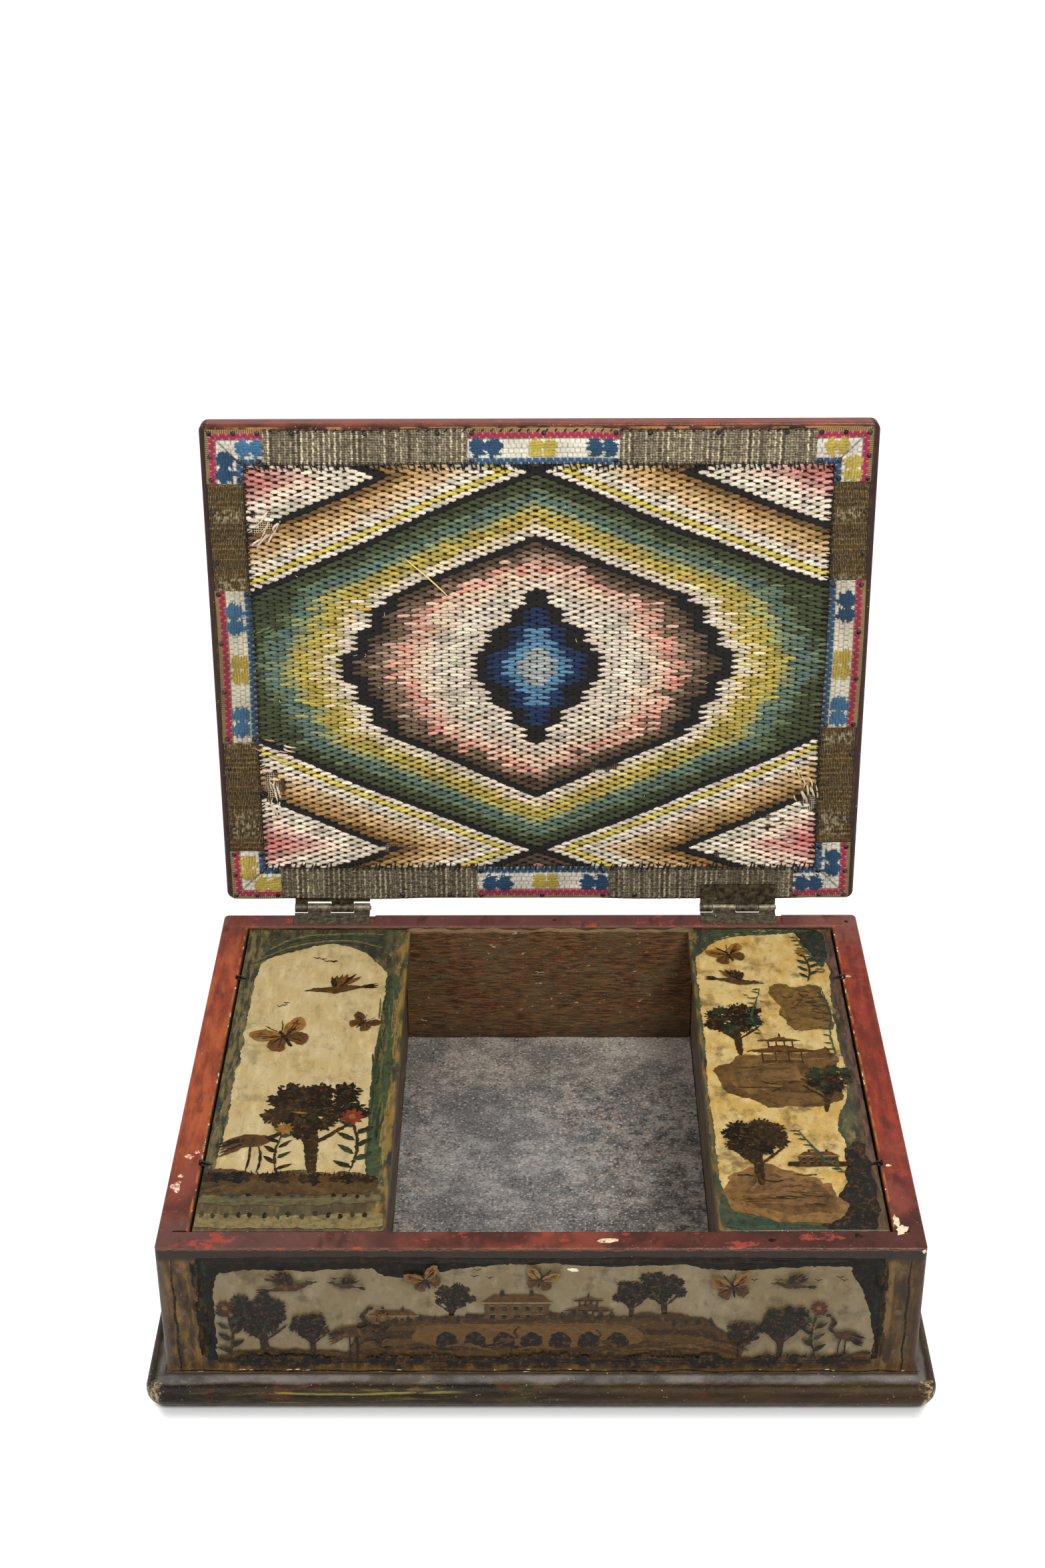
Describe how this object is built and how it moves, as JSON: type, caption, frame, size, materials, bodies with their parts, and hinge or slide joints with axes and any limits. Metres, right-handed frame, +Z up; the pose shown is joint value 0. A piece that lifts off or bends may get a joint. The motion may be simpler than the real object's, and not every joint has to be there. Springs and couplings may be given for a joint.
{
  "type": "hinged-lid box",
  "caption": "Rectangular wooden box with a hinged main lid, a central well and two lidded side compartments.",
  "frame": {"origin": "middle of the box's footprint, on the surface that it stands on", "axes": "+Z up, front at -Y, hinges of the main lid at +Y, +X to the right when seen from the front"},
  "size_m": [0.3382, 0.2957, 0.3363],
  "materials": {
    "red_lacquer": "worn gloss lacquer over gesso",
    "painted_wood": "varnished paint, aged",
    "plinth_paint": "dark olive paint, worn",
    "bare_wood": "bare softwood, matt",
    "paper": "mottled lining paper",
    "wool": "wool stitches on canvas",
    "galloon": "metal-thread galloon",
    "ribbon": "woven ribbon with velvet figures",
    "iron": "dark wrought iron"
  },
  "bodies": {
    "box": {"bottom_board": "bare_wood", "plinth_front": "plinth_paint", "plinth_back": "plinth_paint", "plinth_left": "plinth_paint", "plinth_right": "plinth_paint", "front_wall": "painted_wood", "back_wall": "red_lacquer", "left_wall": "red_lacquer", "right_wall": "red_lacquer", "left_partition": "bare_wood", "right_partition": "bare_wood", "well_lining": "paper", "wall_nails": "iron", "base_nails": "iron", "plinth_nails": "iron", "wall_staples": "iron", "box_leaf_left": "iron", "box_leaf_right": "iron", "box_leaf_screws": "iron"},
    "main_lid": {"lid_board": "red_lacquer", "needlework_panel": "wool", "trim_tacks": "iron", "lid_leaf_left": "iron", "lid_leaf_right": "iron", "lid_leaf_screws": "iron", "galloon_top_left": "galloon", "galloon_top_right": "galloon", "galloon_left_upper": "galloon", "galloon_left_lower": "galloon", "galloon_right_upper": "galloon", "galloon_right_lower": "galloon", "galloon_bottom_left": "galloon", "galloon_bottom_right": "galloon", "ribbon_top": "ribbon", "ribbon_left": "ribbon", "ribbon_right": "ribbon", "ribbon_bottom": "ribbon", "corner_ribbon_top_left": "ribbon", "corner_ribbon_top_right": "ribbon", "corner_ribbon_bottom_left": "ribbon", "corner_ribbon_bottom_right": "ribbon"},
    "left_lid": {"left_compartment_lid": "painted_wood", "left_lid_staples": "iron"},
    "right_lid": {"right_compartment_lid": "painted_wood", "right_lid_staples": "iron"},
    "left_pin": {"hinge_pin_left": "iron"},
    "right_pin": {"hinge_pin_right": "iron"}
  },
  "joints": [
    {"name": "main_lid_hinge", "type": "hinge", "parent": "box", "child": "main_lid", "pos_m": [0, 0.1292, 0.0833], "axis": [-1, 0, 0], "range_deg": [-95, 85]},
    {"name": "left_lid_hinge", "type": "hinge", "parent": "box", "child": "left_lid", "pos_m": [-0.1465, 0, 0.0816], "axis": [0, -1, 0], "range_deg": [0, 110]},
    {"name": "right_lid_hinge", "type": "hinge", "parent": "box", "child": "right_lid", "pos_m": [0.1465, 0, 0.0816], "axis": [0, 1, 0], "range_deg": [0, 110]},
    {"name": "left_pin_turn", "type": "hinge", "parent": "box", "child": "left_pin", "pos_m": [-0.1054, 0.1292, 0.0833], "axis": [1, 0, 0], "continuous": true},
    {"name": "right_pin_turn", "type": "hinge", "parent": "box", "child": "right_pin", "pos_m": [0.1004, 0.1292, 0.0833], "axis": [1, 0, 0], "continuous": true}
  ]
}
